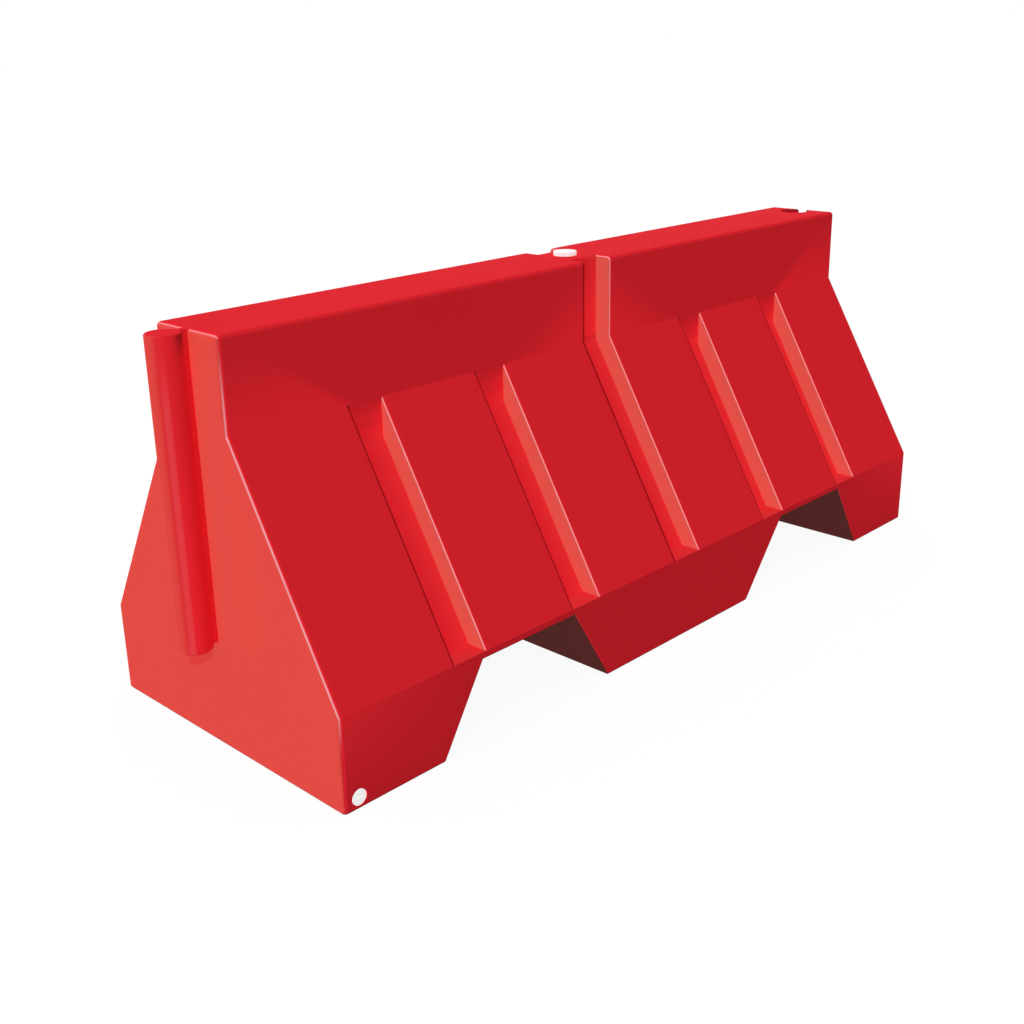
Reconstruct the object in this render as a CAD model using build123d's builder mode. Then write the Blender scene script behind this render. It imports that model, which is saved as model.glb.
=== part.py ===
"""Water-filled plastic road barrier: one hollow rotomoulded shell, a screw filler cap and a screw drain plug.

Millimetres, +Z up, X along the barrier, front towards -Y. The origin is on the ground under the middle of the barrier.
The round connecting post is on the -X end and the keyhole channel that takes the next barrier's post on the +X end.
"""
from build123d import *
import math
import os

os.makedirs("parts", exist_ok=True)

# Body of the barrier
length = 2000.0  # at the ground, without the post
base_width = 730.0
top_width = 194.0
lower_wall_height = 193.0  # ground to the foot of the slope
slope_height = 455.0
upper_wall_height = 179.0
end_draft = 7.0  # how far each end leans in at the top
wall = 6.0
edge_radius = 9.0  # long top edges and the outline of both ends
foot_radius = 5.0  # soles and the edges of the fork pockets
rim_radius = 6.0  # edges of the grooves

# Fork pockets, which run through under the body
pocket_roof_drop = 16.0  # from the foot of the slope down to the pocket's roof
pocket_offset = 514.0  # middle of the pocket's roof from the middle of the barrier
pocket_roof_width = 264.0
pocket_wall_run = 107.0  # how far a pocket wall spreads from roof to ground
right_pocket_inner_run = 137.0  # the flatter wall on the right side of the middle foot

# Grooves in both long sides
groove_depth = 40.5  # square to the face
groove_width = 79.0
inner_groove_offset = 345.0
outer_groove_offset = 680.0
centre_groove_width = 83.0
back_groove_shift = 12.0  # by how much the centre groove of the back sits further to the right

# Connectors at the ends
post_radius = 32.5
post_bottom = 227.0
neck_passage = 4.0  # hollow inside the post's neck
neck_length = 11.5  # free length between post and end face
connector_clearance = 5.5  # loose, so that neighbours can stand at an angle
barrier_gap = 2.0  # between the end faces of two joined barriers
channel_floor_gap = 10.0  # below the bottom of the post
post_rim = 2.0  # bevel around the top and the bottom of the post
throat_radius = 4.0  # where the channel narrows to its mouth

# Filler: cap, gasket and moulded-in ring
filler_bore_radius = 21.0
filler_insert_height = 22.0
cap_overhang = 5.3  # rim of the cap past the bore
cap_height = 9.0
cap_edge_radius = 1.6
cap_lip_gap = 0.3  # between the cap's rim and the top of the barrier
cap_rim = 2.3  # wall around the gasket
cap_flutes = 30
cap_flute_radius = 1.1
cap_thread_length = 14.0
cap_stem_wall = 4.0
cap_top_wall = 3.5  # over the hollow of the stem
gasket_thickness = 2.0

# Drain: plug, seal and moulded-in bush
drain_bore_radius = 10.8
drain_insert_length = 20.0
drain_floor_gap = 7.0  # from the ground to the plug's recess
drain_end_gap = 18.5  # from the left end at the ground to the plug's recess
plug_overhang = 5.2  # rim of the head past the bore
plug_head_thickness = 2.5
plug_head_clearance = 1.0
plug_edge_radius = 0.6
plug_thread_length = 12.5
plug_slot_width = 2.4
plug_slot_depth = 3.0
plug_slot_inset = 3.0  # from the end of the slot to the side of the thread
seal_thickness = 2.0
seal_inset = 1.0  # from the edge of the plug's head

# Both screw closures
insert_wall = 4.0
insert_rib = 3.0  # how far the locking rib of an insert stands out
insert_rib_height = 4.0
thread_clearance = 0.3  # radial

margin = 20.0  # by how much cutting shapes stand past the body

# Values worked out from the sizes above
shoulder_height = lower_wall_height + slope_height
height = shoulder_height + upper_wall_height
half_base = base_width / 2
half_top = top_width / 2
slope_angle = math.atan2(half_base - half_top, slope_height)
slope_inset = groove_depth / math.cos(slope_angle)  # groove depth on the slope, measured level
groove_places = [-outer_groove_offset, -inner_groove_offset, inner_groove_offset, outer_groove_offset]

neck_width = neck_passage + 2 * wall
post_standoff = neck_length + post_radius  # axis of the post from the end face
post_lean = Vector(end_draft, 0, height)
channel_lean = Vector(-end_draft, 0, height)
channel_radius = post_radius + connector_clearance
channel_mouth = neck_width + 2 * connector_clearance
channel_floor = post_bottom - channel_floor_gap

filler_insert_radius = filler_bore_radius + insert_wall
filler_rib_low = height - (filler_insert_height + insert_rib_height) / 2
cap_radius = filler_bore_radius + cap_overhang
cap_stem_radius = filler_bore_radius - thread_clearance
gasket_pocket_radius = cap_radius - cap_rim

drain_insert_radius = drain_bore_radius + insert_wall
plug_head_radius = drain_bore_radius + plug_overhang
plug_stem_radius = drain_bore_radius - thread_clearance
plug_recess_radius = plug_head_radius + plug_head_clearance
plug_recess_depth = plug_head_thickness + seal_thickness
drain_rib_depth = plug_recess_depth + (drain_insert_length - insert_rib_height) / 2
drain_face = Plane(
    origin=(-length / 2 + drain_end_gap + plug_recess_radius, -half_base, drain_floor_gap + plug_recess_radius),
    x_dir=(1, 0, 0),
    z_dir=(0, -1, 0),
)


def section_face(inset):
    """Cross-section of the body, drawn in by the given amount."""
    with BuildSketch(Plane.YZ) as sketch:
        with BuildLine():
            half = Polyline(
                (0, 0),
                (half_base, 0),
                (half_base, lower_wall_height),
                (half_top, shoulder_height),
                (half_top, height),
                (0, height),
            )
            mirror(half, about=Plane.YZ)
        make_face()
        if inset:
            offset(amount=-inset, kind=Kind.INTERSECTION, mode=Mode.REPLACE)
    return sketch.sketch


def elevation_face(inset):
    """Front view of the body with its feet and fork pockets, drawn in by the given amount."""
    inner = pocket_offset - pocket_roof_width / 2
    outer = pocket_offset + pocket_roof_width / 2
    roof = lower_wall_height - pocket_roof_drop
    with BuildSketch(Plane.XZ) as sketch:
        with BuildLine():
            Polyline(
                (-length / 2, 0),
                (-outer - pocket_wall_run, 0),
                (-outer, roof),
                (-inner, roof),
                (-inner + pocket_wall_run, 0),
                (inner - right_pocket_inner_run, 0),
                (inner, roof),
                (outer, roof),
                (outer + pocket_wall_run, 0),
                (length / 2, 0),
                (length / 2 - end_draft, height),
                (-length / 2 + end_draft, height),
                close=True,
            )
        make_face()
        if inset:
            offset(amount=-inset, kind=Kind.INTERSECTION, mode=Mode.REPLACE)
    return sketch.sketch


def groove_face(x, upper_depth, top, grow, in_back):
    """Section of a groove at x in the back or in the front, grown by the given amount."""
    floor_bend = shoulder_height - (slope_inset - upper_depth) / math.tan(slope_angle)
    with BuildSketch(Plane.YZ.offset(x)) as sketch:
        with BuildLine():
            Polyline(
                (half_base + margin, lower_wall_height),
                (half_base - slope_inset, lower_wall_height),
                (half_top - upper_depth, floor_bend),
                (half_top - upper_depth, top),
                (half_base + margin, top),
                close=True,
            )
        make_face()
        if grow:
            offset(amount=grow, kind=Kind.INTERSECTION, mode=Mode.REPLACE)
        if not in_back:
            mirror(about=Plane.YZ, mode=Mode.REPLACE)
    return sketch.sketch


def cut_grooves(grow):
    """Cuts every groove, grown by the given amount, out of the part being built."""
    for in_back in (False, True):
        for x in groove_places:
            side_groove = groove_face(x, 0, shoulder_height, grow, in_back)
            extrude(side_groove, amount=groove_width / 2 + grow, both=True, mode=Mode.SUBTRACT)
        centre_x = back_groove_shift if in_back else 0
        centre_groove = groove_face(centre_x, groove_depth, height + margin, grow, in_back)
        extrude(centre_groove, amount=centre_groove_width / 2 + grow, both=True, mode=Mode.SUBTRACT)


def keyhole_face(x, z, radius, slot_width, slot_end):
    """Plan of the post with its neck, or of the channel with its mouth: a circle and a slot from it to slot_end."""
    with BuildSketch(Plane.XY.offset(z)) as sketch:
        with Locations((x, 0)):
            Circle(radius)
        with Locations(((x + slot_end) / 2, 0)):
            Rectangle(abs(slot_end - x), slot_width)
    return sketch.sketch


def leaning_length(low, high):
    """Length along a leaning end between two heights."""
    return post_lean.length * (high - low) / height


def post_axis(z):
    """X of the post's axis at height z."""
    return -length / 2 - post_standoff + end_draft * z / height


def channel_axis(z):
    """X of the keyhole channel's axis at height z."""
    return length / 2 - post_standoff + barrier_gap - end_draft * z / height


# The water space inside the shell. It isn't a piece: it is cut out of the shell below.
with BuildPart() as tank:
    extrude(section_face(wall), amount=length / 2, both=True)
    extrude(elevation_face(wall), amount=half_base, both=True, mode=Mode.INTERSECT)
    cut_grooves(wall)

    # Wall around the keyhole channel
    channel_wall_low = channel_floor - wall
    channel_wall = keyhole_face(
        channel_axis(channel_wall_low),
        channel_wall_low,
        channel_radius + wall,
        channel_mouth + 2 * wall,
        length / 2 + margin,
    )
    extrude(channel_wall, amount=leaning_length(channel_wall_low, height), dir=channel_lean, mode=Mode.SUBTRACT)

    # Hollow of the post and of its neck
    hollow_low = post_bottom + wall
    post_hollow = keyhole_face(
        post_axis(hollow_low),
        hollow_low,
        post_radius - wall,
        neck_passage,
        -length / 2 + end_draft + 2 * wall,
    )
    extrude(post_hollow, amount=leaning_length(hollow_low, height - wall), dir=post_lean)

    # Bosses that hold the two moulded-in inserts
    with BuildSketch(Plane.XY.offset(height - filler_insert_height)):
        Circle(filler_insert_radius + insert_rib + wall)
    extrude(amount=filler_insert_height, mode=Mode.SUBTRACT)
    with BuildSketch(drain_face):
        Circle(drain_insert_radius + insert_rib + wall)
    extrude(amount=-plug_recess_depth - drain_insert_length, mode=Mode.SUBTRACT)

# The outer form before the grooves, with its edges rounded
with BuildPart() as rounded_body:
    extrude(section_face(0), amount=length / 2, both=True)
    extrude(elevation_face(0), amount=half_base, both=True, mode=Mode.INTERSECT)
    top_edges = rounded_body.edges().filter_by(Axis.X).group_by(Axis.Z)[-1]
    ends = rounded_body.faces().sort_by(Axis.X)
    end_edges = (ends[0].edges() + ends[-1].edges()).sort_by(Axis.Z)[2:]
    fillet(top_edges + end_edges, radius=edge_radius)

    # Soles, and the outline of the pockets on both long sides
    soles = rounded_body.faces().filter_by(Axis.Z).group_by(Axis.Z)[0]
    pocket_faces = rounded_body.faces().filter_by(lambda face: abs(face.normal_at().Y) < 0.01)
    pocket_faces = pocket_faces.filter_by_position(Axis.Z, 1, lower_wall_height)
    sole_edges = ShapeList(edge for face in soles for edge in face.edges())
    pocket_edges = ShapeList(edge for face in pocket_faces for edge in face.edges())
    pocket_edges = pocket_edges.filter_by(Axis.Y, reverse=True).filter_by_position(Axis.Z, 1, lower_wall_height)
    fillet(sole_edges + pocket_edges, radius=foot_radius)

# Everything above the foot of the slope, with the grooves and their rounded rims
with BuildPart() as upper_body:
    add(rounded_body.part)
    split(bisect_by=Plane.XY.offset(lower_wall_height), keep=Keep.TOP)
    cut_grooves(0)
    groove_walls = upper_body.faces().filter_by(Axis.X)
    rims = ShapeList(edge for face in groove_walls for edge in face.edges())
    rims = rims.filter_by(lambda edge: not edge.is_interior)
    rims = rims.filter_by_position(Axis.Z, lower_wall_height + 1, height + 1)
    notch_backs = upper_body.edges().filter_by(Axis.X).group_by(Axis.Z)[-1].sort_by(SortBy.LENGTH)[:2]
    fillet(rims + notch_backs, radius=rim_radius)

with BuildPart() as barrier_shell:
    add(rounded_body.part)
    split(bisect_by=Plane.XY.offset(lower_wall_height), keep=Keep.BOTTOM)
    add(upper_body.part)

    # Post on the left end, its neck rooted past the rounded edge
    post = keyhole_face(
        post_axis(post_bottom),
        post_bottom,
        post_radius,
        neck_width,
        -length / 2 + end_draft + edge_radius + wall,
    )
    extrude(post, amount=leaning_length(post_bottom, height), dir=post_lean)
    post_rims = barrier_shell.edges().filter_by(GeomType.CIRCLE).sort_by(Axis.X)[:2]
    chamfer(post_rims, length=post_rim)

    # Keyhole channel in the right end, open at the top
    channel = keyhole_face(
        channel_axis(channel_floor),
        channel_floor,
        channel_radius,
        channel_mouth,
        length / 2 + margin,
    )
    extrude(channel, amount=leaning_length(channel_floor, height + margin), dir=channel_lean, mode=Mode.SUBTRACT)
    channel_edges = barrier_shell.edges(Select.LAST).filter_by(GeomType.LINE).sort_by(SortBy.LENGTH)[-4:]
    throat_edges = channel_edges.sort_by(Axis.X)[:2]
    fillet(throat_edges, radius=throat_radius)

    add(tank.part, mode=Mode.SUBTRACT)

    # Seat of the filler ring
    with BuildSketch(Plane.XY.offset(height)):
        Circle(filler_insert_radius)
    extrude(amount=-filler_insert_height, mode=Mode.SUBTRACT)
    with BuildSketch(Plane.XY.offset(filler_rib_low)):
        Circle(filler_insert_radius + insert_rib)
    extrude(amount=insert_rib_height, mode=Mode.SUBTRACT)

    # Recess of the drain plug's head and seat of the drain bush
    with BuildSketch(drain_face):
        Circle(plug_recess_radius)
    extrude(amount=-plug_recess_depth, mode=Mode.SUBTRACT)
    with BuildSketch(drain_face):
        Circle(drain_insert_radius)
    extrude(amount=-plug_recess_depth - drain_insert_length, mode=Mode.SUBTRACT)
    with BuildSketch(drain_face.offset(-drain_rib_depth)):
        Circle(drain_insert_radius + insert_rib)
    extrude(amount=-insert_rib_height, mode=Mode.SUBTRACT)

with BuildPart() as filler_insert:
    with BuildSketch(Plane.XY.offset(height)):
        Circle(filler_insert_radius)
        Circle(filler_bore_radius, mode=Mode.SUBTRACT)
    extrude(amount=-filler_insert_height)
    with BuildSketch(Plane.XY.offset(filler_rib_low)):
        Circle(filler_insert_radius + insert_rib)
        Circle(filler_bore_radius, mode=Mode.SUBTRACT)
    extrude(amount=insert_rib_height)

with BuildPart() as filler_gasket:
    with BuildSketch(Plane.XY.offset(height)):
        Circle(gasket_pocket_radius - thread_clearance)
        Circle(filler_bore_radius, mode=Mode.SUBTRACT)
    extrude(amount=gasket_thickness)

with BuildPart() as filler_cap:
    with BuildSketch(Plane.XY.offset(height + cap_lip_gap)):
        Circle(cap_radius)
    extrude(amount=cap_height)
    cap_rim_edge = filler_cap.edges().filter_by(GeomType.CIRCLE).sort_by(Axis.Z)[-1]
    fillet(cap_rim_edge, radius=cap_edge_radius)

    # Grip flutes around the rim
    with BuildSketch(Plane.XY.offset(height)):
        with PolarLocations(cap_radius, cap_flutes):
            Circle(cap_flute_radius)
    extrude(amount=cap_lip_gap + cap_height, mode=Mode.SUBTRACT)

    # Pocket for the gasket
    with BuildSketch(Plane.XY.offset(height)):
        Circle(gasket_pocket_radius)
    extrude(amount=gasket_thickness, mode=Mode.SUBTRACT)

    # Hollow stem, which carries the thread
    with BuildSketch(Plane.XY.offset(height + gasket_thickness)):
        Circle(cap_stem_radius)
    extrude(amount=-gasket_thickness - cap_thread_length)
    with BuildSketch(Plane.XY.offset(height - cap_thread_length)):
        Circle(cap_stem_radius - cap_stem_wall)
    hollow_height = cap_thread_length + cap_lip_gap + cap_height - cap_top_wall
    extrude(amount=hollow_height, mode=Mode.SUBTRACT)

with BuildPart() as drain_insert:
    with BuildSketch(drain_face.offset(-plug_recess_depth)):
        Circle(drain_insert_radius)
        Circle(drain_bore_radius, mode=Mode.SUBTRACT)
    extrude(amount=-drain_insert_length)
    with BuildSketch(drain_face.offset(-drain_rib_depth)):
        Circle(drain_insert_radius + insert_rib)
        Circle(drain_bore_radius, mode=Mode.SUBTRACT)
    extrude(amount=-insert_rib_height)

with BuildPart() as drain_seal:
    with BuildSketch(drain_face.offset(-plug_recess_depth)):
        Circle(plug_head_radius - seal_inset)
        Circle(drain_bore_radius, mode=Mode.SUBTRACT)
    extrude(amount=seal_thickness)

with BuildPart() as drain_plug:
    with BuildSketch(drain_face):
        Circle(plug_head_radius)
    extrude(amount=-plug_head_thickness)
    head_edge = drain_plug.edges().filter_by(GeomType.CIRCLE).sort_by(Axis.Y)[0]
    fillet(head_edge, radius=plug_edge_radius)
    with BuildSketch(drain_face.offset(-plug_head_thickness)):
        Circle(plug_stem_radius)
    extrude(amount=-seal_thickness - plug_thread_length)

    # Coin slot across the head
    with BuildSketch(drain_face):
        Rectangle(2 * (plug_stem_radius - plug_slot_inset), plug_slot_width)
    extrude(amount=-plug_slot_depth, mode=Mode.SUBTRACT)

pieces = {
    "barrier_shell": barrier_shell,
    "filler_insert": filler_insert,
    "filler_gasket": filler_gasket,
    "filler_cap": filler_cap,
    "drain_insert": drain_insert,
    "drain_seal": drain_seal,
    "drain_plug": drain_plug,
}
for name, piece in pieces.items():
    piece.part.label = name
    export_step(piece.part, f"parts/{name}.step")
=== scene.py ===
"""Looks of the plastic road barrier: materials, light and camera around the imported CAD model."""
import math
from collections import namedtuple

import bpy
from mathutils import Matrix, Vector


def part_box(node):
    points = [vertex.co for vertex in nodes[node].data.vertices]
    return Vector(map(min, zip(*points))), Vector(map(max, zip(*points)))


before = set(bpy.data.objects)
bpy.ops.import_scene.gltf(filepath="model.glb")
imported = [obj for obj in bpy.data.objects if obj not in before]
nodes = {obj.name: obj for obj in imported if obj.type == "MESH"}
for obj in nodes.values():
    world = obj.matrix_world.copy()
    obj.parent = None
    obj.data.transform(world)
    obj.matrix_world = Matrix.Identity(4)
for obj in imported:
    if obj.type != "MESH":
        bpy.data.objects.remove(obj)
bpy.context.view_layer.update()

shell_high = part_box("barrier_shell")[1]
cap_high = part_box("filler_cap")[1]
plug_low, plug_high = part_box("drain_plug")
scene = bpy.context.scene
scene.view_settings.view_transform = "Standard"

# Body, in metres: its outer sizes come from the frame, the others are those of the CAD model
END_FOOT, HALF_BASE, TOP = shell_high
END_DRAFT = 0.007  # by how much an end leans in from its foot to its top
END_TOP = END_FOOT - END_DRAFT
HALF_TOP = 0.097
SLOPE_FOOT = 0.193
SHOULDER = 0.648
SLOPE_ANGLE = math.atan2(HALF_BASE - HALF_TOP, SHOULDER - SLOPE_FOOT)
POCKET_OUTER = 0.646
POST_END = -0.9  # only the post end of the body lies beyond this

# Grooves
INNER_GROOVE = 0.345
OUTER_GROOVE = 0.680
GROOVE_CENTRES = (-OUTER_GROOVE, -INNER_GROOVE, 0.0, INNER_GROOVE, OUTER_GROOVE)
GROOVE_WIDTH = 0.079
CENTRE_GROOVE_WIDTH = 0.083
GROOVE_HALF = 0.040  # for the painted tones, between the two real half widths
GROOVE_DEPTH = 0.0405  # square to the slope
GROOVE_INSET = GROOVE_DEPTH / math.cos(SLOPE_ANGLE)  # the same depth, measured level
CENTRE_GROOVE_EDGE = CENTRE_GROOVE_WIDTH / 2
INNER_GROOVE_EDGE = INNER_GROOVE - GROOVE_WIDTH / 2
OUTER_GROOVE_EDGE = OUTER_GROOVE + GROOVE_WIDTH / 2
BACK_GROOVE_SHIFT = 0.012  # of the back's centre groove, towards +X
SIDE_HEAD_FOOT = 0.552  # the upright heads of the side grooves lie above this

# Post and its neck
POST_RADIUS = 0.0325
POST_FOOT = 0.227
NECK_HALF = 0.008
NECK_LENGTH = 0.0115
POST_STAND = NECK_LENGTH + POST_RADIUS  # from the end face to the post's axis

# Connector channel and its mouth
CLEARANCE = 0.0055
CHANNEL_FLOOR_GAP = 0.010
CHANNEL_RADIUS = POST_RADIUS + CLEARANCE
CHANNEL_FOOT = POST_FOOT - CHANNEL_FLOOR_GAP
CHANNEL_BACK = 0.9125  # just behind the bore
MOUTH_HALF = NECK_HALF + CLEARANCE
MOUTH_INNER = 0.984  # where the bore narrows to the mouth
MOUTH_LIP = 0.0025  # outermost part of the end, which the bore's mask leaves out

# Closures
CAP_RADIUS = cap_high[1]
FLUTE_DEPTH = 0.0011
PLUG_MIDDLE = ((plug_low[0] + plug_high[0]) / 2, plug_low[1], (plug_low[2] + plug_high[2]) / 2)
SLOT_HALF = (0.0075, 0.0012)  # coin slot of the drain plug, along and across
MASK_SLACK = 0.0002  # how far the masks of the mouth and the slot reach past their walls

# Colours of the plastics, in pairs where one clouds the other
RED = (0.745, 0.0180, 0.0285, 1)
LIGHT_RED = (0.775, 0.0205, 0.0310, 1)
DARK_SPECK = (0.700, 0.0160, 0.0250, 1)
# Painted sheen on faces towards -X, and the same painted sheen dimmer in the grooves
SHEEN_RED = (0.845, 0.0820, 0.0660, 1)
GROOVE_SHEEN_RED = (0.745, 0.1120, 0.0890, 1)
# Painted shade on the end face beside the post's neck
NECK_SHADE_RED = (0.690, 0.1120, 0.0890, 1)
# Painted shade along the groove rims
RIM_SHADE_RED = (0.300, 0.0030, 0.0060, 1)
# Painted shade in the corner behind the post's top
CORNER_SHADE_RED = (0.330, 0.0160, 0.0150, 1)
# Painted shade inside the connector channel
CHANNEL_SHADE_RED = (0.180, 0.0050, 0.0080, 1)
# Painted highlight along rounded edges
EDGE_HIGHLIGHT_PINK = (1.000, 0.4200, 0.4500, 1)
# Painted shade on undersides and in the fork pockets
UNDERSIDE_SHADE = (0.100, 0.0310, 0.0280, 1)
CAP_WHITES = ((0.94, 0.94, 0.937, 1), (0.91, 0.91, 0.905, 1))
PLUG_WHITES = ((0.97, 0.97, 0.967, 1), (0.95, 0.95, 0.945, 1))
INSERT_BLACKS = ((0.016, 0.016, 0.018, 1), (0.011, 0.011, 0.012, 1))
RUBBER_BLACKS = ((0.010, 0.010, 0.010, 1), (0.006, 0.006, 0.006, 1))
# Painted shade in small recesses of the white parts
RECESS_SHADE_GREY = (0.620, 0.6150, 0.6050, 1)
WHITE = (1, 1, 1, 1)

# Painted shading: brightness that a place adds to the red or takes from it, as a part of 1
UPPER_WALL_TONE = 0.25
FOOT_TONES = (-0.09, 0.24)  # low down or between the pockets, and high up at the ends
FLOOR_TONES = (0.14, 0.09)  # on an upright and on a sloping groove floor
HEAD_TONES = (0.17, 0.30)  # by the left and by the right wall of a groove
POST_TONES = (0.05, 0.23)  # on the post's outermost line and further round
POST_BACK_TONE = 0.16
POST_TOP_TONE = 0.14
NECK_TONE = 0.10
EDGE_TONE = 0.18
LEDGE_TONE = 0.12

# Shares of the painted colours
# Shares of the painted sheen on ledges, groove floors and the post
LEDGE_SHEEN = 0.10
SUNK_SHEEN = 0.14
POST_SHEEN = 0.80
# Share of the painted sheen kept in the painted shadow of the post
POST_SHADOW_SHEEN = 0.55
NECK_SIDE_SHARES = (0.65, 0.13)  # up to where it starts to go, and at the top
POST_HIGHLIGHTS = 0.12
SPARED_EDGES = (0.4, 0.9)  # painted highlights that the post end's top edge and upright edges lack near the top
RIM_SHADE_SHARE = 0.75
CORNER_SHADE_SHARE = 0.90
CHANNEL_SHARES = (0.95, 0.60)  # deep down and at the top
UNDERSIDE_SHADE_SHARE = 0.95
FLUTE_SHARE = 0.40

# Heights between which the painted colours come or go
HIGHLIGHT_HEIGHTS = (0.12, SLOPE_FOOT + 0.02)
SPARED_HEIGHTS = (0.70, 0.80)
CORNER_HEIGHTS = (0.765, 0.835)
CHANNEL_HEIGHTS = (0.55, TOP)
NECK_SIDE_FOOT = (POST_FOOT - 0.08, POST_FOOT + 0.06)
NECK_SIDE_TOP = (0.70, TOP)

# Parts of a face's normal from which it counts as upright, level, half turned or leaning
UPRIGHT = 0.9
LEVEL = 0.8
HALF_TURNED = 0.5
LEANING = 0.3

PLASTIC_IOR = 1.5
NOISE_SPREAD = (0.3, 0.7)  # where nearly all values of a noise lie

# Painted shade line along a groove's left rim: how far outside the groove it runs, and where it is full and
# where gone
Rim = namedtuple("Rim", "out full gone")
SIDE_RIM = Rim(out=0.0025, full=0.0025, gone=0.0045)
CENTRE_RIM = Rim(out=0.0050, full=0.0040, gone=0.0065)

# Surface of a plain plastic
Finish = namedtuple("Finish", "rough specular grain_scale")
SMOOTH = Finish(rough=0.34, specular=0.4, grain_scale=900.0)
NYLON = Finish(rough=0.55, specular=0.4, grain_scale=1400.0)
MATTE = Finish(rough=0.75, specular=0.3, grain_scale=2200.0)

# What the red material knows of a point: its place and normal, and the form of the body that it lies on
Spot = namedtuple(
    "Spot",
    "place y z nx ny nz beside depth groove_x across upright ledge at_end on_post on_end neck channel ahead",
)


class Tree:
    """Small helper that builds a shader node tree. Values may be numbers, tuples or sockets."""

    def __init__(self, tree):
        self.tree = tree
        self.tree.nodes.clear()

    def put(self, socket, value):
        if isinstance(value, bpy.types.NodeSocket):
            self.tree.links.new(value, socket)
        else:
            socket.default_value = value

    def node(self, kind, inputs=None, **settings):
        made = self.tree.nodes.new(kind)
        for key, value in settings.items():
            setattr(made, key, value)
        for key, value in (inputs or {}).items():
            self.put(made.inputs[key], value)
        return made

    def math(self, operation, a, b=0.0, clamp=False):
        made = self.node("ShaderNodeMath", {0: a, 1: b}, operation=operation, use_clamp=clamp)
        return made.outputs[0]

    def times(self, first, *others):
        for other in others:
            first = self.math("MULTIPLY", first, other)
        return first

    def plus(self, first, *others):
        for other in others:
            first = self.math("ADD", first, other)
        return first

    def minus(self, a, b, clamp=False):
        return self.math("SUBTRACT", a, b, clamp)

    def rest(self, share):
        """What the share leaves of 1."""
        return self.minus(1.0, share)

    def larger(self, a, b):
        return self.math("MAXIMUM", a, b)

    def size(self, value):
        """The value without its sign."""
        return self.math("ABSOLUTE", value)

    def over(self, value, limit):
        """1 above the limit, else 0."""
        return self.math("GREATER_THAN", value, limit)

    def under(self, value, limit):
        """1 below the limit, else 0."""
        return self.math("LESS_THAN", value, limit)

    def near(self, value, middle, reach):
        """1 within reach of the middle, else 0."""
        inputs = {0: value, 1: middle, 2: reach}
        return self.node("ShaderNodeMath", inputs, operation="COMPARE").outputs[0]

    def between(self, value, low, high):
        """1 from low to high, else 0."""
        return self.near(value, (low + high) / 2, (high - low) / 2)

    def step(self, value, start, end):
        """0 up to the start, 1 past the end, smooth between. The start may be the larger of the two."""
        inputs = {"Value": value, "From Min": start, "From Max": end}
        return self.node("ShaderNodeMapRange", inputs, interpolation_type="SMOOTHSTEP").outputs[0]

    def ramp(self, value, start, end, to_start=0.0, to_end=1.0):
        """Straight from to_start to to_end, and level beyond both."""
        inputs = {"Value": value, "From Min": start, "From Max": end, "To Min": to_start, "To Max": to_end}
        return self.node("ShaderNodeMapRange", inputs).outputs[0]

    def noise(self, where, scale, detail=2.0):
        inputs = {"Vector": where, "Scale": scale, "Detail": detail}
        return self.node("ShaderNodeTexNoise", inputs).outputs["Fac"]

    def pick(self, share, a, b):
        """The number a where the share is 0, and b where it is 1."""
        return self.node("ShaderNodeMix", {0: share, 2: a, 3: b}).outputs[0]

    def mix(self, share, a, b):
        """The colour a where the share is 0, and b where it is 1."""
        return self.node("ShaderNodeMix", {0: share, 6: a, 7: b}, data_type="RGBA").outputs[2]


def new_material(name):
    material = bpy.data.materials.new(name)
    material.use_nodes = True
    return material, Tree(material.node_tree)


def across_groove(t, x):
    """0 at the left wall of a groove, 1 at its right wall, and 0 beside the grooves."""
    past_wall = 0.002
    share = 0.0
    for centre in GROOVE_CENTRES:
        inside = t.near(x, centre, GROOVE_HALF + past_wall)
        along = t.ramp(x, centre - GROOVE_HALF, centre + GROOVE_HALF)
        share = t.plus(t.times(inside, along), share)
    return share


def in_channel(t, x, y, z, nz):
    """1 on the inside of the connector channel and of its mouth, 0 elsewhere."""
    past_wall = 0.001
    under_floor = 0.0015
    under_top = 0.0005
    lip = t.ramp(z, 0.0, TOP, END_FOOT - MOUTH_LIP, END_TOP - MOUTH_LIP)
    bore = t.times(t.over(x, CHANNEL_BACK), t.under(x, lip), t.near(y, 0.0, CHANNEL_RADIUS + past_wall))
    past_throat = t.over(x, MOUTH_INNER)
    mouth = t.times(past_throat, t.near(y, 0.0, MOUTH_HALF + MASK_SLACK))
    high = t.between(z, CHANNEL_FOOT - under_floor, TOP - under_top)
    top_edge = t.times(past_throat, t.over(nz, LEANING), t.over(z, SHOULDER))
    return t.times(t.larger(bore, mouth), high, t.rest(top_edge))


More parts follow.
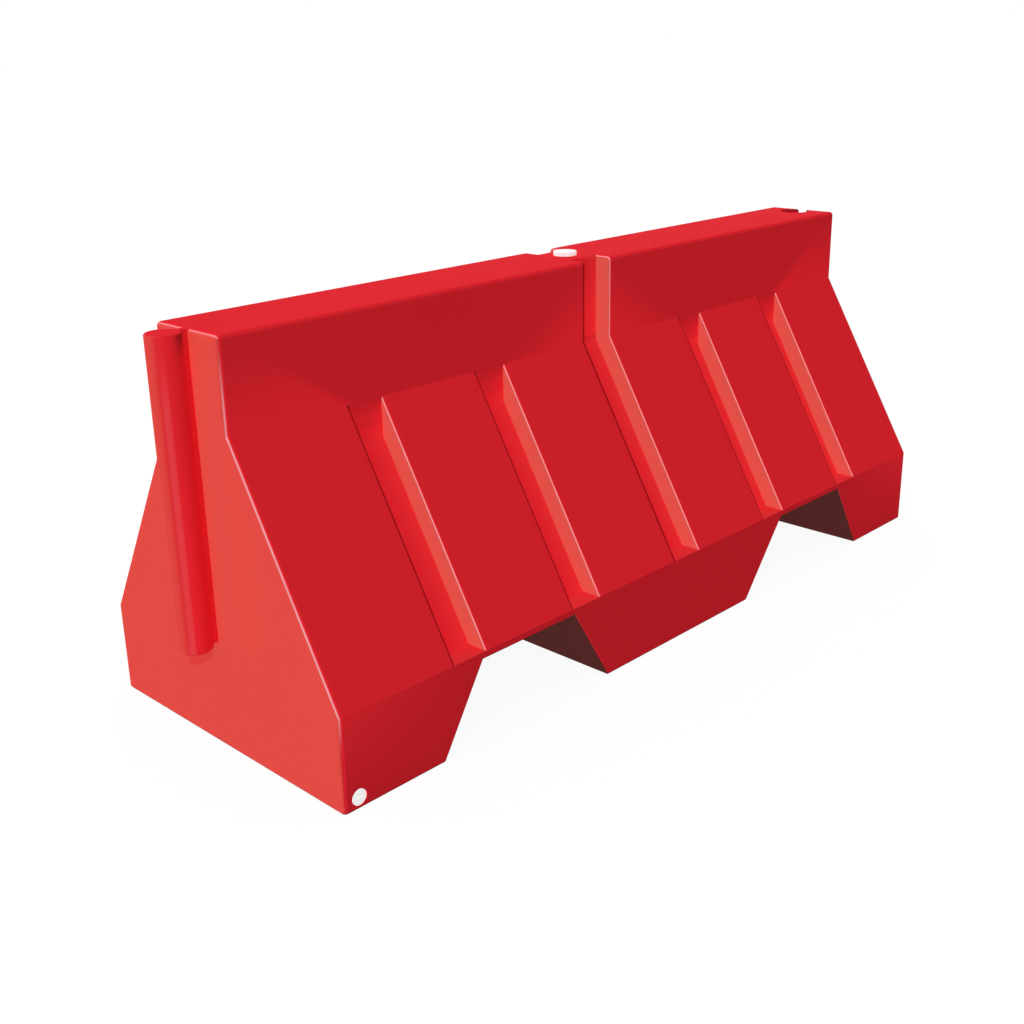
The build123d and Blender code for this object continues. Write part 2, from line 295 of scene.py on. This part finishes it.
def survey(t):
    """Everything that the parts of the red material ask about a point."""
    place = t.node("ShaderNodeTexCoord").outputs["Object"]
    normal = t.node("ShaderNodeNewGeometry").outputs["Normal"]
    x, y, z = t.node("ShaderNodeSeparateXYZ", {0: place}).outputs
    nx, ny, nz = t.node("ShaderNodeSeparateXYZ", {0: normal}).outputs

    # Grooves, with the one that is shifted in the back, and the ledges at their feet
    by_centre = 0.1
    over_ledge = 0.004
    outline = t.ramp(z, SLOPE_FOOT, SHOULDER, HALF_BASE, HALF_TOP)
    shifted = t.times(t.over(y, 0.0), t.near(x, 0.0, by_centre))
    groove_x = t.minus(x, t.times(shifted, BACK_GROOVE_SHIFT))
    ledge = t.times(t.over(nz, LEVEL), t.under(z, SLOPE_FOOT + over_ledge))

    # Post end, and the post with its neck
    off_end = 0.0015
    past_neck_side = 0.003
    past_neck_end = 0.001
    end_plane = t.ramp(z, 0.0, TOP, -END_FOOT, -END_TOP)
    at_end = t.under(x, POST_END)
    on_post = t.under(x, t.minus(end_plane, off_end))
    neck_across = t.near(y, 0.0, NECK_HALF + past_neck_side)
    neck_along = t.near(x, end_plane, NECK_LENGTH + past_neck_end)

    channel = in_channel(t, x, y, z, nz)
    return Spot(
        place, y, z, nx, ny, nz,
        beside=t.size(x),
        depth=t.minus(outline, t.size(y)),
        groove_x=groove_x,
        across=across_groove(t, groove_x),
        upright=t.over(t.size(ny), UPRIGHT),
        ledge=ledge,
        at_end=at_end,
        on_post=on_post,
        on_end=t.times(t.rest(on_post), at_end),
        neck=t.times(neck_across, neck_along),
        channel=channel,
        ahead=t.times(nx, t.minus(channel, 1.0)),  # how far it faces -X, and 0 in the channel
    )


def upper_wall_shading(t, s):
    """Painted shading: upper walls are lighter low down, beside the centre groove and towards the ends."""
    steepness = 1.5
    blur = (-0.035, 0.025)  # across the diagonal from the top corner to the outer groove
    fall = t.ramp(s.z, SHOULDER, TOP, 1.0, 0.0)
    diagonal = t.ramp(s.z, SHOULDER, TOP, OUTER_GROOVE_EDGE, END_TOP)
    under_diagonal = t.step(t.minus(s.beside, diagonal), *blur)
    by_end = t.times(t.step(fall, 0.0, 1.0), under_diagonal)
    away = t.ramp(s.beside, CENTRE_GROOVE_EDGE, INNER_GROOVE_EDGE)
    by_centre = t.math("MULTIPLY", t.minus(fall, away, clamp=True), steepness, clamp=True)
    return t.times(t.larger(by_end, by_centre), t.over(s.z, SHOULDER), s.upright, UPPER_WALL_TONE)


def foot_shading(t, s):
    """Painted shading: feet are lighter towards the slope and the ends."""
    curve = 1.2
    rise = t.math("POWER", t.ramp(s.z, 0.0, SLOPE_FOOT), curve)
    outwards = t.ramp(s.beside, POCKET_OUTER, END_FOOT)
    tone = t.pick(t.times(rise, outwards), *FOOT_TONES)
    return t.times(tone, t.under(s.z, SLOPE_FOOT), s.upright)


def groove_floor_shading(t, s):
    """Painted bounce light: floors of the grooves are lighter than the faces around them."""
    sunk = (0.55 * GROOVE_INSET, 0.9 * GROOVE_INSET)
    floor_normals = (-0.05, 0.65)  # upward part, from upright floors to sloping ones
    fully_sloping = 0.42
    lying = t.times(t.between(s.nz, *floor_normals), t.under(t.size(s.nx), HALF_TURNED))
    return t.times(t.step(s.depth, *sunk), lying, t.ramp(s.nz, 0.0, fully_sloping, *FLOOR_TONES))


def groove_head_shading(t, s):
    """Painted shading: upright heads of the side grooves are lighter away from the shoulder."""
    past_edge = 0.0105
    full_tone = 0.615
    in_side_groove = t.between(s.beside, INNER_GROOVE_EDGE - past_edge, OUTER_GROOVE_EDGE + past_edge)
    high = t.between(s.z, SIDE_HEAD_FOOT, SHOULDER)
    tone = t.times(t.ramp(s.z, SHOULDER, full_tone), t.pick(s.across, *HEAD_TONES))
    return t.times(tone, in_side_groove, high, s.upright)


def edge_shading(t, s):
    """Painted shading: rounded edges towards -X are lighter than the faces behind them, and ledges are
    darker.
    """
    begins = (-0.02, -0.22)
    ends = (-0.45, -0.60)
    edge = t.minus(t.step(s.nx, *begins), t.step(s.nx, *ends))
    return t.minus(t.times(edge, EDGE_TONE), t.times(s.ledge, LEDGE_TONE))


def post_shading(t, s):
    """Painted shading: the post is lightest beside its outermost line, and darker at its back, on its top and
    its neck.
    """
    front_turn = (-1.0, -0.6)
    back_turn = (-0.35, 0.3)
    front = t.ramp(s.nx, *front_turn, *POST_TONES)
    back = t.ramp(s.nx, *back_turn, 0.0, POST_BACK_TONE)
    top = t.times(t.over(s.nz, HALF_TURNED), POST_TOP_TONE)
    return t.minus(t.minus(front, back), t.plus(t.times(s.neck, NECK_TONE), top))


def pigment_and_shading(t, s):
    """Moulded-in red with soft clouds and fine grain, scaled by the painted shading of each place."""
    cloud_scale = 2.6
    grain_scale = 520.0
    grain_spread = (0.35, 0.65)
    speck_share = 0.12
    clouded = t.mix(t.noise(s.place, cloud_scale, detail=3.0), RED, LIGHT_RED)
    specks = t.ramp(t.noise(s.place, grain_scale), *grain_spread, 0.0, speck_share)
    speckled = t.mix(specks, clouded, DARK_SPECK)
    walls = t.plus(upper_wall_shading(t, s), foot_shading(t, s))
    grooves = t.plus(groove_floor_shading(t, s), groove_head_shading(t, s))
    face = t.plus(walls, grooves, edge_shading(t, s))
    tone = t.plus(t.pick(s.on_post, face, post_shading(t, s)), 1.0)
    return t.node("ShaderNodeVectorMath", {0: speckled, "Scale": tone}, operation="SCALE").outputs[0]


def post_shadow(t, s):
    """Painted shadow of the post: 1 just under the post's foot, on the part of the end face that the post
    shades from the front.
    """
    sun_x, sun_y, drop = 0.584, 0.812, 0.640  # level direction, and fall along it
    lower_blur = (-0.005, 0.005)
    upper_blur = (0.042, 0.012)
    side_blur = (POST_RADIUS, 0.6 * POST_RADIUS)
    foot_blur = (POST_FOOT + 0.009, POST_FOOT - 0.015)
    aside = t.minus(POST_STAND * sun_y, t.times(s.y, sun_x))
    chord = t.math("SQRT", t.larger(t.minus(POST_RADIUS ** 2, t.times(aside, aside)), 0.0))
    along = t.plus(t.times(s.y, sun_y), POST_STAND * sun_x)
    above = t.minus(s.z, t.minus(POST_FOOT, t.times(t.plus(along, chord), drop)))
    band = t.times(t.step(above, *lower_blur), t.step(above, *upper_blur))
    return t.times(band, t.step(t.size(aside), *side_blur), t.step(s.z, *foot_blur))


def face_sheen(t, s):
    """Painted sheen: faces towards -X are lighter, ledges and the groove floors by their right walls a
    little.
    """
    sunk = (0.5 * GROOVE_INSET, 0.9 * GROOVE_INSET)
    right_part = (0.45, 1.0)
    facing = (0.62, 0.96)
    floor = t.times(t.step(s.depth, *sunk), t.step(s.across, *right_part), t.under(s.nz, LEVEL))
    little = t.larger(t.times(s.ledge, LEDGE_SHEEN), t.times(floor, SUNK_SHEEN))
    return t.larger(t.step(s.ahead, *facing), little)


def post_sheen(t, s):
    """Painted sheen on the post along its outermost line and from there towards the back."""
    outermost = (0.76, 1.0)
    backwards = (-0.1, 0.25)
    facing = (0.3, 0.7)
    line = t.times(t.step(s.ahead, *outermost), POST_SHEEN)
    return t.times(t.larger(line, t.step(s.ny, *backwards)), t.step(s.ahead, *facing))


def sheen_share(t, s):
    """Share of the painted sheen colour, which is less in the painted shadow under the post."""
    share = t.pick(s.on_post, face_sheen(t, s), post_sheen(t, s))
    # Painted shadow of the post on the end face
    in_post_shadow = t.times(post_shadow(t, s), s.on_end)
    return t.times(share, t.pick(in_post_shadow, 1.0, POST_SHADOW_SHEEN))


def sheen_colour(t, s):
    """Colour of the painted sheen, dimmer in the grooves and with painted shade beside the neck."""
    past_edge = 0.01
    aside = (0.115, 0.015)
    in_groove = t.under(s.beside, OUTER_GROOVE_EDGE + past_edge)
    # Painted shade beside the neck
    by_neck = t.times(t.step(t.size(s.y), *aside), t.step(s.z, *NECK_SIDE_FOOT), s.on_end)
    by_neck = t.times(by_neck, t.ramp(s.z, *NECK_SIDE_TOP, *NECK_SIDE_SHARES))
    return t.mix(by_neck, t.mix(in_groove, SHEEN_RED, GROOVE_SHEEN_RED), NECK_SHADE_RED)


def edge_highlights(t, s):
    """Share of the painted highlights along the rounded edges of the sheen faces."""
    begins = (0.44, 0.60)
    ends = (0.72, 0.86)
    patch_scale = 60.0
    patch_shares = (0.85, 1.0)
    slants = (-0.1, LEANING)
    slant_shares = (0.75, 1.0)
    rounded = t.minus(t.step(s.ahead, *begins), t.step(s.ahead, *ends))
    patchy = t.ramp(t.noise(s.place, patch_scale), *NOISE_SPREAD, *patch_shares)
    lit_edge = t.times(patchy, t.ramp(s.nz, *slants, *slant_shares))
    upright_edge = t.under(s.nz, LEANING)
    spared = t.times(t.ramp(s.z, *SPARED_HEIGHTS), t.pick(upright_edge, *SPARED_EDGES), s.at_end)
    kept = t.times(t.pick(s.on_post, 1.0, POST_HIGHLIGHTS), t.rest(spared))
    return t.times(rounded, t.step(s.z, *HIGHLIGHT_HEIGHTS), lit_edge, kept)


def left_rim_shade(t, s):
    """Share of the painted shade line along the left rim of each groove."""
    rims = 0.0
    for centre in GROOVE_CENTRES:
        rim = SIDE_RIM if centre else CENTRE_RIM
        top = SHOULDER if centre else TOP
        off = t.size(t.minus(s.groove_x, centre - GROOVE_HALF - rim.out))
        line = t.times(t.step(off, rim.gone, rim.full), t.between(s.z, SLOPE_FOOT, top))
        rims = t.plus(line, rims)
    return t.times(rims, t.under(s.nz, LEVEL), RIM_SHADE_SHARE)


def post_corner_shade(t, s):
    """Share of the painted shade in the corner behind the top of the post."""
    back_turn = (-0.12, 0.5)
    behind = t.times(t.step(s.nx, *back_turn), t.under(s.nz, HALF_TURNED), s.on_post, t.rest(s.neck))
    return t.times(behind, t.step(s.z, *CORNER_HEIGHTS), CORNER_SHADE_SHARE)


def channel_shade(t, s):
    """Share of the painted shade in the connector channel."""
    return t.times(s.channel, t.ramp(s.z, *CHANNEL_HEIGHTS, *CHANNEL_SHARES))


def underside_shade(t, s):
    """Share of the painted shade on undersides and in the fork pockets."""
    downwards = (-0.2, -0.45)
    return t.times(t.step(s.nz, *downwards), t.under(s.z, SLOPE_FOOT), UNDERSIDE_SHADE_SHARE)


def satin_skin(t, place):
    """Roughness, and a normal with orange peel and slow ripples."""
    gloss_scale = 9.0
    gloss_range = (0.36, 0.42)
    peel_scale = 230.0
    peel_share = 0.2
    ripple_scale = 14.0
    rough = t.ramp(t.noise(place, gloss_scale, detail=3.0), *NOISE_SPREAD, *gloss_range)
    peel = t.noise(place, peel_scale, detail=1.5)
    ripple = t.noise(place, ripple_scale, detail=1.0)
    height = t.plus(t.times(peel, peel_share), ripple)
    bump = t.node("ShaderNodeBump", {"Strength": 0.12, "Distance": 0.0008, "Height": height})
    return rough, bump.outputs[0]


def red_polyethylene():
    """Red of the body: each painted colour covers its share of the ones before it."""
    material, t = new_material("red_polyethylene")
    s = survey(t)
    colour = t.mix(sheen_share(t, s), pigment_and_shading(t, s), sheen_colour(t, s))
    colour = t.mix(edge_highlights(t, s), colour, EDGE_HIGHLIGHT_PINK)
    colour = t.mix(left_rim_shade(t, s), colour, RIM_SHADE_RED)
    colour = t.mix(post_corner_shade(t, s), colour, CORNER_SHADE_RED)
    colour = t.mix(channel_shade(t, s), colour, CHANNEL_SHADE_RED)
    colour = t.mix(underside_shade(t, s), colour, UNDERSIDE_SHADE)
    rough, normal = satin_skin(t, s.place)
    inputs = {
        "Base Color": colour,
        "Roughness": rough,
        "Normal": normal,
        "IOR": PLASTIC_IOR,
        "Specular IOR Level": 0.0005,
    }
    shader = t.node("ShaderNodeBsdfPrincipled", inputs)
    t.node("ShaderNodeOutputMaterial", {"Surface": shader.outputs[0]})
    return material


def in_slot(t, place):
    """1 on the inside of the drain plug's coin slot, where shade is painted, 0 elsewhere."""
    behind_face = 0.0003
    x, y, z = t.node("ShaderNodeSeparateXYZ", {0: place}).outputs
    along = t.near(x, PLUG_MIDDLE[0], SLOT_HALF[0] + MASK_SLACK)
    across = t.near(z, PLUG_MIDDLE[2], SLOT_HALF[1] + MASK_SLACK)
    return t.times(along, across, t.over(y, PLUG_MIDDLE[1] + behind_face))


def in_flutes(t, place):
    """Share of the painted shade in the bottoms of the filler cap's grip flutes."""
    rim_depth = 1.5 * FLUTE_DEPTH
    full_depth = 0.8 * FLUTE_DEPTH
    level = t.node("ShaderNodeVectorMath", {0: place, 1: (1, 1, 0)}, operation="MULTIPLY").outputs[0]
    radius = t.node("ShaderNodeVectorMath", {0: level}, operation="LENGTH").outputs["Value"]
    rim = t.over(radius, CAP_RADIUS - rim_depth)
    return t.times(rim, t.step(radius, CAP_RADIUS, CAP_RADIUS - full_depth), FLUTE_SHARE)


def moulded_plastic(name, colours, finish, glow=0.0, recess_shade=None):
    """Plain plastic or rubber. Glow is painted light, a weak light of its own though the part is no lamp; the
    function passed last gives the share of painted shade in grey.
    """
    cloud_scale = 60.0
    rough_spread = 0.04
    material, t = new_material(name)
    place = t.node("ShaderNodeTexCoord").outputs["Object"]
    grain = t.noise(place, finish.grain_scale)
    colour = t.mix(t.noise(place, cloud_scale, detail=3.0), *colours)
    # Painted shade in recesses, in grey
    if recess_shade:
        colour = t.mix(recess_shade(t, place), colour, RECESS_SHADE_GREY)
    rough = t.ramp(grain, *NOISE_SPREAD, finish.rough - rough_spread, finish.rough + rough_spread)
    bump = t.node("ShaderNodeBump", {"Strength": 0.1, "Distance": 0.0002, "Height": grain})
    inputs = {
        "Base Color": colour,
        "Roughness": rough,
        "Normal": bump.outputs[0],
        "IOR": PLASTIC_IOR,
        "Specular IOR Level": finish.specular,
    }
    # Painted light: the part glows though it is no lamp
    if glow:
        inputs["Emission Color"] = colour
        inputs["Emission Strength"] = glow
    shader = t.node("ShaderNodeBsdfPrincipled", inputs)
    t.node("ShaderNodeOutputMaterial", {"Surface": shader.outputs[0]})
    return material


def white_plastic():
    # The cap glows a little: painted light that makes it read whiter
    return moulded_plastic("white_plastic", CAP_WHITES, SMOOTH, glow=0.1, recess_shade=in_flutes)


def glowing_white_plastic():
    # The drain plug glows: painted light that makes it read white on its shaded side
    return moulded_plastic("glowing_white_plastic", PLUG_WHITES, SMOOTH, glow=0.25, recess_shade=in_slot)


def insert_plastic():
    return moulded_plastic("insert_plastic", INSERT_BLACKS, NYLON)


def seal_rubber():
    return moulded_plastic("seal_rubber", RUBBER_BLACKS, MATTE)


wearers = {
    red_polyethylene: ["barrier_shell"],
    white_plastic: ["filler_cap"],
    glowing_white_plastic: ["drain_plug"],
    insert_plastic: ["filler_insert", "drain_insert"],
    seal_rubber: ["filler_gasket", "drain_seal"],
}
for make_material, names in wearers.items():
    material = make_material()
    for name in names:
        slots = nodes[name].data.materials
        slots.clear()
        slots.append(material)


def seen_directly(t):
    """1 for camera, glossy and transmission rays, 0 for the others."""
    path = t.node("ShaderNodeLightPath").outputs
    glossy = t.larger(path["Is Glossy Ray"], path["Is Transmission Ray"])
    return t.larger(path["Is Camera Ray"], glossy)


def floor_material():
    """White to the camera apart from the shadow, a plain pale grey to the light that it throws back."""
    lighting_grey = (0.25, 0.25, 0.25, 1)
    seen_grey = (0.20, 0.20, 0.20, 1)
    seen_glow = 0.82
    material, t = new_material("floor")
    seen = seen_directly(t)
    diffuse = t.node("ShaderNodeBsdfDiffuse", {"Color": t.mix(seen, lighting_grey, seen_grey)})
    glow = t.node("ShaderNodeEmission", {"Color": WHITE, "Strength": t.times(seen, seen_glow)})
    both = t.node("ShaderNodeAddShader", {0: diffuse.outputs[0], 1: glow.outputs[0]})
    t.node("ShaderNodeOutputMaterial", {"Surface": both.outputs[0]})
    return material


def pale_floor():
    """Wide floor, a hair below the feet."""
    reach = 80.0
    height = -0.0005
    signs = [(-1, -1), (1, -1), (1, 1), (-1, 1)]
    corners = [(reach * x, reach * y, height) for x, y in signs]
    mesh = bpy.data.meshes.new("floor")
    mesh.from_pydata(corners, [], [(0, 1, 2, 3)])
    mesh.materials.append(floor_material())
    floor = bpy.data.objects.new("floor", mesh)
    scene.collection.objects.link(floor)


def even_sky():
    """Even light from all round, white where it is seen directly."""
    lighting_strength = 0.2
    seen_strength = 1.0
    world = bpy.data.worlds.new("studio")
    world.use_nodes = True
    scene.world = world
    t = Tree(world.node_tree)
    strength = t.pick(seen_directly(t), lighting_strength, seen_strength)
    sky = t.node("ShaderNodeBackground", {"Color": WHITE, "Strength": strength})
    t.node("ShaderNodeOutputWorld", {"Surface": sky.outputs[0]})


def soft_lamp(name, level, casts_shadow):
    """Light from half of the sky, above and left. Level is the brightness of a white card that faces it."""
    towards = Vector((0.667, -0.156, -0.733))
    data = bpy.data.lights.new(name, "SUN")
    data.energy = level * math.pi
    data.angle = math.pi
    data.use_shadow = casts_shadow
    data.cycles.use_multiple_importance_sampling = False
    lamp = bpy.data.objects.new(name, data)
    scene.collection.objects.link(lamp)
    lamp.rotation_mode = "QUATERNION"
    lamp.rotation_quaternion = towards.to_track_quat("-Z", "Y")
    lamp.visible_glossy = False


def solved_camera():
    """Camera of the photograph, solved from the corners that it shows."""
    sensor_width = 36.0
    picture_width_pixels = 1024
    focal_length_pixels = 1279.612
    eye = Vector((-2.172564, -1.941885, 1.290706))
    right = Vector((0.694155, -0.719572, -0.019120))
    down = Vector((-0.262881, -0.228689, -0.937334))
    forward = Vector((0.670107, 0.655681, -0.347907))
    data = bpy.data.cameras.new("camera")
    data.sensor_fit = "HORIZONTAL"
    data.sensor_width = sensor_width
    data.lens = sensor_width * focal_length_pixels / picture_width_pixels
    data.clip_end = 400.0
    camera = bpy.data.objects.new("camera", data)
    scene.collection.objects.link(camera)
    turn = Matrix((right, -down, -forward)).transposed().to_4x4()
    camera.matrix_world = Matrix.Translation(eye) @ turn
    scene.camera = camera


pale_floor()
even_sky()
soft_lamp("soft_light", level=0.65, casts_shadow=False)
soft_lamp("soft_shadow_light", level=0.25, casts_shadow=True)
solved_camera()
